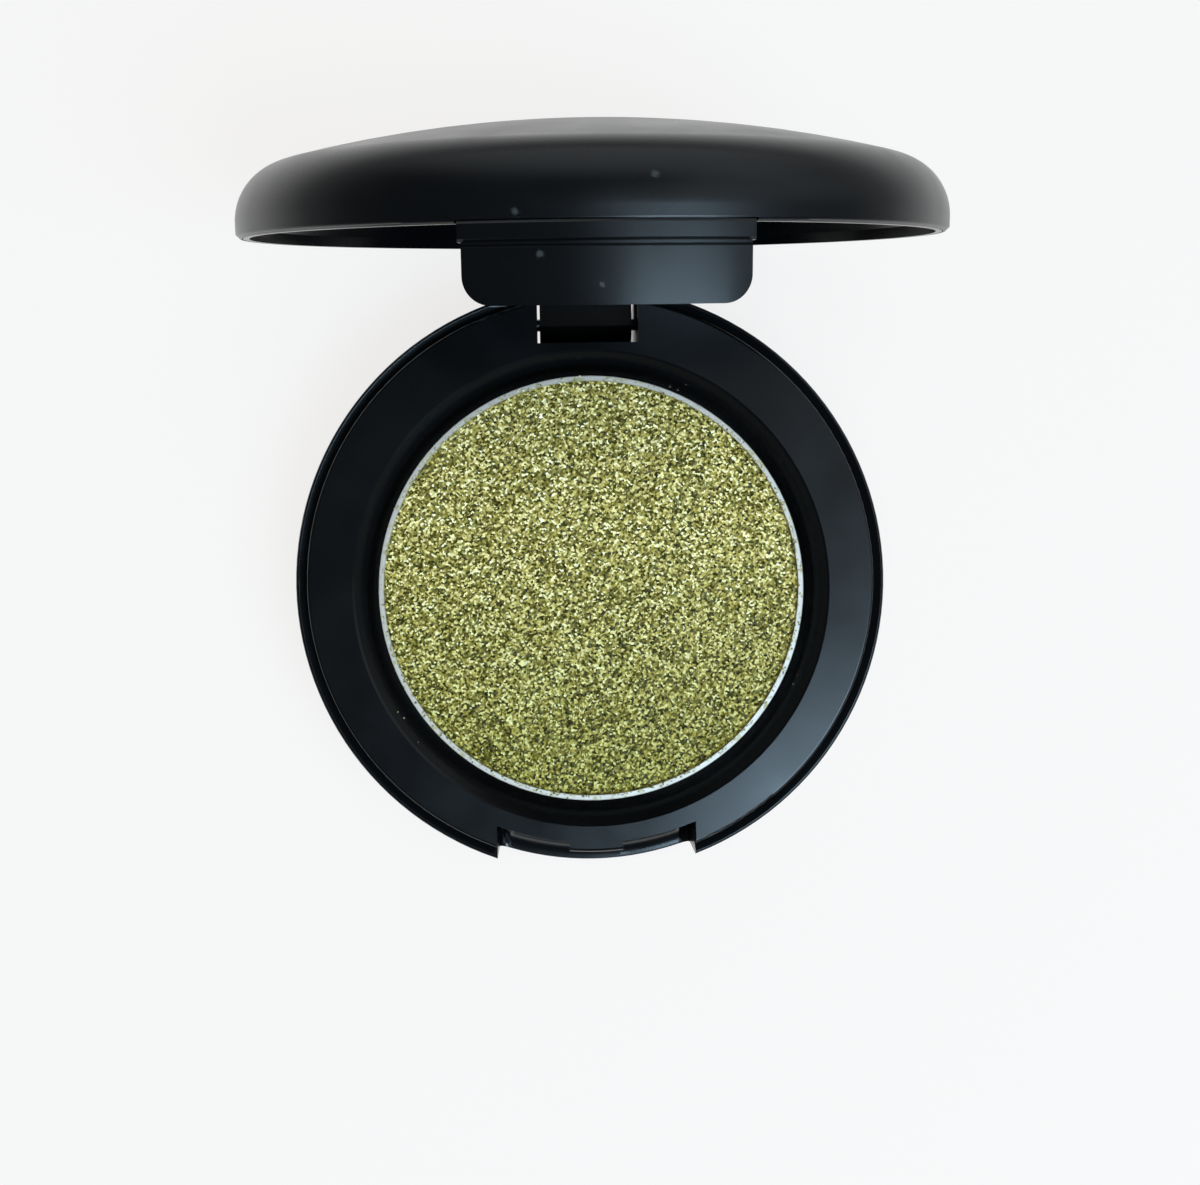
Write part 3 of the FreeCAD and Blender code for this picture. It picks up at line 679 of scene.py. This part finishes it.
@dataclass(frozen=True)
class LippedLedge:
    """The shell's ledge, which slopes up to a thin rounded lip at its outer edge, in millimetres."""

    radius: float = 18.6
    inner: float = 17.9
    floor: float = 7.44
    parting: float = 8.005
    crest: float = 7.93
    lip: float = 0.20
    slope: float = 0.65

    def covers(self, point: Vector) -> bool:
        """Tell whether a point in metres lies on the ledge."""
        reach = math.hypot(point.x, point.y) * PER_MM
        return reach > self.inner and self.floor < point.z * PER_MM < self.parting

    def past_crest(self, point: Vector) -> float:
        """Millimetres that a point lies outside the lip's crest."""
        return math.hypot(point.x, point.y) * PER_MM - self.radius + self.lip

    def shape(self, mesh: bmesh.types.BMesh) -> None:
        """Bring the shell's ledge to its slope and lip.

        Args:
            mesh: The shell's joined mesh.
        """
        for vertex in mesh.verts:
            if self.covers(vertex.co):
                past = self.past_crest(vertex.co)
                over = min(max(past, 0.0), self.lip)
                fall = self.lip - math.sqrt(self.lip ** 2 - over ** 2)
                vertex.co.z = (self.crest + min(past, 0.0) * self.slope - fall) * MM
        mesh.normal_update()

    def normal(self, point: Vector) -> Vector | None:
        """Work out the ledge's exact normal at a point.

        Args:
            point: The point, in metres.

        Returns:
            The normal there, or nothing off the ledge.
        """
        if not self.covers(point):
            return None
        past = self.past_crest(point)
        lean = min(past / self.lip, 1.0) if past > 0.0 else -self.slope
        rise = math.sqrt(1.0 - lean ** 2) if past > 0.0 else 1.0
        outward = Vector((point.x, point.y, 0.0)).normalized()
        return (outward * lean + Vector((0.0, 0.0, rise))).normalized()


def merge_copy(node: str, crease: float = 35.0, reach: float = 0.0001) -> bmesh.types.BMesh:
    """Copy a moulding's mesh with its loose triangles joined and its creases kept.

    Args:
        node: Name of the piece.
        crease: Least angle of a sharp edge, in degrees.
        reach: Millimetres within which points are one.

    Returns:
        The joined mesh.
    """
    mesh = bmesh.new()
    mesh.from_mesh(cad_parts[node].data)
    bmesh.ops.remove_doubles(mesh, verts=mesh.verts, dist=reach * MM)
    for face in mesh.faces:
        face.smooth = True
    for edge in mesh.edges:
        edge.smooth = edge.calc_face_angle(math.pi) < math.radians(crease)
    return mesh


def shade_true(piece: bpy.types.Object, shape: DomedCover | LippedLedge, agree: float = 0.55) -> None:
    """Shade a turned moulding by its true shape in place of its facets.

    Args:
        piece: The moulding.
        shape: Its turned shape.
        agree: Least cosine between a face and the shape that it belongs to.
    """
    data = piece.data
    normals = [corner.vector.copy() for corner in data.corner_normals]
    for face in data.polygons:
        for corner in face.loop_indices:
            exact = shape.normal(data.vertices[data.loops[corner].vertex_index].co)
            if exact and exact.dot(face.normal) > agree:
                normals[corner] = exact
    data.normals_split_custom_set(normals)


@dataclass
class Housing:
    """Base shell, pan tray and hinge pin."""

    ledge: LippedLedge = LippedLedge()

    def build(self) -> None:
        """Model the shell with its lipped ledge, and dress the tray and the pin."""
        plastic = MouldedBlack("shell_black_plastic").make()
        mesh = merge_copy("base_shell")
        self.ledge.shape(mesh)
        shell = add_piece("shell_moulding", mesh, Body.BASE, plastic)
        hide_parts("base_shell")
        shade_true(shell, self.ledge)
        dress_node("pan_tray", MouldedBlack("tray_black_plastic"))
        dress_node("hinge_pin", PinSteel())


@dataclass
class Lid:
    """Domed cover and inner frame with the thumb tab."""

    cover_specks: tuple[Speck, ...] = (
        Speck((1.95, 17.29, 38.91), 0.26),
        Speck((-3.78, 15.92, 38.60), 0.26),
    )
    tab_specks: tuple[Speck, ...] = (
        Speck((-0.28, 12.93, 38.56), 0.20),
        Speck((-2.80, 14.18, 38.57), 0.24),
    )
    hinge: Rgb = (0.0, 16.9, 3.1)
    opened: float = 79.7
    satin: Span = (0.26, 0.33)
    knuckle_reach: Span = (6.0, 8.0)
    knuckle_polish: float = 0.35

    def build(self) -> None:
        """Model the cover with its even rim, and dress both mouldings with the dust on them."""
        pivot = Matrix.Translation(Vector(self.hinge) * MM)
        opening = pivot @ Matrix.Rotation(-math.radians(self.opened), 4, "X") @ pivot.inverted()
        plastic = MouldedBlack("cover_black_plastic", self.cover_specks, gloss=self.satin).make()
        outside = DomedCover(opening)
        mesh = merge_copy("lid_cover")
        outside.renew_rim(mesh)
        cover = add_piece("cover_moulding", mesh, Body.LID, plastic)
        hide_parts("lid_cover")
        shade_true(cover, outside)
        knuckle = Bearing(self.hinge, self.knuckle_reach, self.knuckle_polish)
        dress_node("lid_frame", MouldedBlack("frame_black_plastic", self.tab_specks, knuckle))


@dataclass
class PowderPan:
    """Metal pan with its pressed powder, loose crumbs and adhesive, in millimetres."""

    grain_step: float = 0.14
    grain_jitter: float = 0.28
    grain_lift: float = 0.03
    swell: float = 0.05
    swell_span: float = 4.0
    edge_width: float = 0.35
    edge_drop: float = 0.10
    foot_round: float = 0.3
    rim_crumbs: int = 420
    rim_width: float = 0.3
    rim_scatter: float = 0.4
    crumb_sizes: Span = (0.045, 0.10)
    crumb_widths: Span = (0.5, 1.0)
    crumb_heights: Span = (0.4, 0.8)
    crumb_sink: float = 3.0
    crumb_stops: Stops = (
        (0.0, (0.10, 0.10, 0.02)),
        (1.0, (1.0, 1.0, 0.85)),
        (0.50, (0.45, 0.44, 0.20)),
    )
    gap_crumbs: tuple[Span, ...] = (
        (-12.38, -7.98), (-12.02, -8.38), (-11.15, -9.89), (5.49, 12.63),
        (5.99, 12.41), (6.17, 12.33), (12.98, -6.21), (12.72, -6.77),
    )
    seed: int = 11

    def build(self) -> None:
        """Model the powder and its crumbs, and dress the pan."""
        dress_node("powder_pan", BrightTin())
        dress_node("pan_adhesive_disc", Adhesive())
        shimmer = PressedShimmer().make()
        chance = random.Random(self.seed)
        cake = add_piece("pressed_powder", self.press_cake(chance), Body.BASE, shimmer)
        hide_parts("powder_cake")
        loose = PressedShimmer("loose_shimmer", stops=self.crumb_stops).make()
        add_piece("powder_crumbs", self.drop_crumbs(chance), Body.BASE, loose)

    def press_cake(self, chance: random.Random) -> bmesh.types.BMesh:
        """Model the pressed powder with its grainy, slightly uneven face.

        Args:
            chance: Source of the grains' places.

        Returns:
            The cake's mesh.
        """
        low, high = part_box("powder_cake")
        radius = (high.x - low.x) / 2
        middle = Vector(((low.x + high.x) / 2, (low.y + high.y) / 2, high.z))
        mesh = bmesh.new()
        cells = round(2 * radius / (self.grain_step * MM))
        bmesh.ops.create_grid(mesh, x_segments=cells, y_segments=cells, size=1.0)
        for grain in mesh.verts:
            across, along, _ = grain.co
            right = across * math.sqrt(1 - along ** 2 / 2)
            ahead = along * math.sqrt(1 - across ** 2 / 2)
            grain.co = middle + Vector((right, ahead, 0.0)) * radius
            self.raise_grain(grain, middle, radius, chance)
        self.wall_cake(mesh, middle, low.z)
        return mesh

    def raise_grain(self, grain: bmesh.types.BMVert, middle: Vector, radius: float,
                    chance: random.Random) -> None:
        """Move one grain of the face off the even grid.

        Args:
            grain: The grain's vertex, on the flat disc.
            middle: Centre of the disc.
            radius: Radius of the disc.
            chance: Source of the move.
        """
        inward = radius - (grain.co - middle).length
        share = min(1.0, inward / (self.edge_width * MM))
        shift = self.grain_jitter * self.grain_step * MM * share
        broad = noise.noise(grain.co / (self.swell_span * MM)) * self.swell
        lift = chance.uniform(-1.0, 1.0) * self.grain_lift
        fall = (1.0 - share) ** 2 * self.edge_drop
        grain.co.x += chance.uniform(-1.0, 1.0) * shift
        grain.co.y += chance.uniform(-1.0, 1.0) * shift
        grain.co.z += (broad + lift - fall) * MM

    def wall_cake(self, mesh: bmesh.types.BMesh, middle: Vector, floor: float) -> None:
        """Close the cake's side and bottom.

        Args:
            mesh: The cake's open face.
            middle: Centre of the face.
            floor: Height of the bottom.
        """
        drop = self.foot_round * MM
        for height, inset in ((floor + drop, 0.0), (floor, drop)):
            made = bmesh.ops.extrude_edge_only(mesh, edges=find_border(mesh))["geom"]
            for vertex in (item for item in made if isinstance(item, bmesh.types.BMVert)):
                outward = Vector((vertex.co.x - middle.x, vertex.co.y - middle.y, 0.0))
                vertex.co -= outward.normalized() * inset
                vertex.co.z = height
        bmesh.ops.contextual_create(mesh, geom=find_border(mesh))
        bmesh.ops.recalc_face_normals(mesh, faces=mesh.faces)

    def drop_crumbs(self, chance: random.Random) -> bmesh.types.BMesh:
        """Scatter loose grains on the pan's rim and in the gap round the pan.

        Args:
            chance: Source of the grains' places and turns.

        Returns:
            The crumbs' mesh.
        """
        low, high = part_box("powder_pan")
        middle = (low + high) / 2
        inner = (high.x - low.x) / 2 - self.rim_width * MM
        places = [Vector((x, y, 0.0)) * MM for x, y in self.gap_crumbs]
        for _ in range(self.rim_crumbs):
            turn = chance.uniform(0.0, 2 * math.pi)
            reach = inner + abs(chance.gauss(0.0, self.rim_scatter)) * self.rim_width * MM
            x, y = middle.x + reach * math.cos(turn), middle.y + reach * math.sin(turn)
            places.append(Vector((x, y, 0.0)))
        mesh = bmesh.new()
        for place in places:
            size = chance.uniform(*self.crumb_sizes) * MM
            turned = Euler([chance.uniform(0.0, math.pi) for _ in range(3)]).to_matrix().to_4x4()
            width = chance.uniform(*self.crumb_widths)
            height = chance.uniform(*self.crumb_heights)
            flat = Matrix.Diagonal((1.0, width, height, 1.0))
            seat = self.find_seat(place) + Vector((0.0, 0.0, size / self.crumb_sink))
            matrix = Matrix.Translation(seat) @ turned @ flat
            bmesh.ops.create_icosphere(mesh, subdivisions=1, radius=size, matrix=matrix)
        return mesh

    def find_seat(self, place: Vector) -> Vector:
        """Find what a crumb lies on.

        Args:
            place: Where the crumb falls.

        Returns:
            The highest point of the pan or the tray there.
        """
        start = Vector((place.x, place.y, CAD_BOX[1][2]))
        down = Vector((0.0, 0.0, -1.0))
        casts = [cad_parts[name].ray_cast(start, down) for name in ("powder_pan", "pan_tray")]
        return max((point for hit, point, _, _ in casts if hit), key=lambda point: point.z)


@dataclass(frozen=True)
class Glow:
    """A soft patch of light on the walls of the room."""

    azimuth: float
    elevation: float
    level: float
    reach: float

    def axis(self) -> Rgb:
        """Direction of the patch's middle."""
        turn, rise = math.radians(self.azimuth), math.radians(self.elevation)
        return (math.cos(rise) * math.cos(turn), math.cos(rise) * math.sin(turn), math.sin(rise))


@dataclass(frozen=True)
class Softbox:
    """A flat lamp that faces straight down, in millimetres and watts."""

    name: str
    place: Rgb
    size: Span
    power: float
    colour: Rgb
    mirrored: bool

    def hang(self) -> None:
        """Add the lamp to the scene."""
        lamp = bpy.data.lights.new(self.name, "AREA")
        lamp.shape = "RECTANGLE"
        lamp.size, lamp.size_y = (side * MM for side in self.size)
        lamp.energy = self.power
        lamp.color = self.colour
        box = bpy.data.objects.new(self.name, lamp)
        box.location = Vector(self.place) * MM
        box.visible_glossy = self.mirrored
        bpy.context.scene.collection.objects.link(box)


@dataclass
class Studio:
    """White floor in a dim room, soft lights and the camera."""

    floor_half: float = 3000.0
    floor_white: Rgb = (0.917, 0.909, 0.902)
    floor_far: Rgb = (0.22, 0.22, 0.22)
    floor_reach: Span = (60.0, 190.0)
    shadow_share: float = 0.14
    room: float = 0.05
    horizon: float = 0.26
    horizon_reach: Span = (0.0, 0.12)
    tint: Rgb = (0.88, 0.95, 1.0)
    glows: tuple[Glow, ...] = (
        Glow(85.0, 14.0, 0.60, 50.0),
        Glow(28.0, 32.0, 0.42, 34.0),
        Glow(8.0, 66.0, 0.34, 30.0),
    )
    boxes: tuple[Softbox, ...] = (
        Softbox("key", (158.0, -148.0, 350.0), (215.0, 175.0), 1.26, (0.56, 0.80, 1.0), True),
        Softbox("fill", (0.0, -60.0, 700.0), (600.0, 600.0), 3.7, (1.0, 0.98, 0.93), False),
    )
    eye: Rgb = (-2.623, 2.109, 96.25)
    eye_turn: Rgb = (-1.820, -2.020, -1.093)
    lens: float = 41.96
    sensor: float = 36.0

    def build(self) -> None:
        """Make the floor, the room, the lights and the camera."""
        self.lay_floor()
        self.light_room()
        for box in self.boxes:
            box.hang()
        self.set_camera()

    def lay_floor(self) -> None:
        """Lay a white floor that shows the object's shadow faintly."""
        mesh = bmesh.new()
        bmesh.ops.create_grid(mesh, x_segments=2, y_segments=2, size=self.floor_half * MM)
        data = bpy.data.meshes.new("floor")
        mesh.to_mesh(data)
        mesh.free()
        floor = bpy.data.objects.new("floor", data)
        bpy.context.scene.collection.objects.link(floor)
        material = bpy.data.materials.new("studio_white")
        graph = Graph(material)
        path = graph.node("LightPath").outputs
        seen = graph.sum("MAXIMUM", path["Is Camera Ray"], path["Is Glossy Ray"])
        seen = graph.sum("MAXIMUM", seen, path["Is Transmission Ray"])
        away = graph.apart(graph.place(), (0.0, 0.0, 0.0))
        near, far = (reach * MM for reach in self.floor_reach)
        fade = graph.spread(away, (near, far), (0.0, 1.0))
        white = graph.blend(fade, self.floor_white, self.floor_far)
        glow = graph.node("Emission", {"Color": white}).outputs[0]
        matt = graph.node("BsdfDiffuse", {"Color": white}).outputs[0]
        share = graph.sum("MULTIPLY", seen, 1.0 - self.shadow_share)
        mixed = graph.node("MixShader", {0: share, 1: matt, 2: glow}).outputs[0]
        graph.node("OutputMaterial", {"Surface": mixed})
        data.materials.append(material)

    def light_room(self) -> None:
        """Make a dim room with a pale horizon and soft patches of light."""
        world = bpy.data.worlds.new("room")
        bpy.context.scene.world = world
        graph = Graph(world)
        direction = graph.node("TexCoord").outputs["Generated"]
        height = graph.node("SeparateXYZ", {"Vector": direction}).outputs["Z"]
        level = graph.spread(height, self.horizon_reach, (self.horizon, self.room), "SMOOTHSTEP")
        for glow in self.glows:
            inputs = {0: direction, 1: glow.axis()}
            toward = graph.node("VectorMath", inputs, operation="DOT_PRODUCT").outputs["Value"]
            edge = math.cos(math.radians(glow.reach))
            patch = graph.spread(toward, (edge, 1.0), (0.0, glow.level), "SMOOTHSTEP")
            level = graph.sum("ADD", level, patch)
        light = graph.node("Background", {"Color": (*self.tint, 1.0), "Strength": level})
        graph.node("OutputWorld", {"Surface": light.outputs[0]})

    def set_camera(self) -> None:
        """Stand the camera over the open base."""
        lens = bpy.data.cameras.new("camera")
        lens.sensor_width = self.sensor
        lens.lens = self.lens
        lens.clip_start = MM
        camera = bpy.data.objects.new("camera", lens)
        camera.location = Vector(self.eye) * MM
        camera.rotation_mode = "ZYX"
        camera.rotation_euler = [math.radians(angle) for angle in self.eye_turn]
        bpy.context.scene.collection.objects.link(camera)
        bpy.context.scene.camera = camera
        bpy.context.scene.view_settings.view_transform = "Standard"


def main() -> None:
    """Dress the pieces and set the studio."""
    logging.basicConfig(level=logging.INFO, format="%(message)s")
    Housing().build()
    PowderPan().build()
    Lid().build()
    Studio().build()


if __name__ == "__main__":
    main()
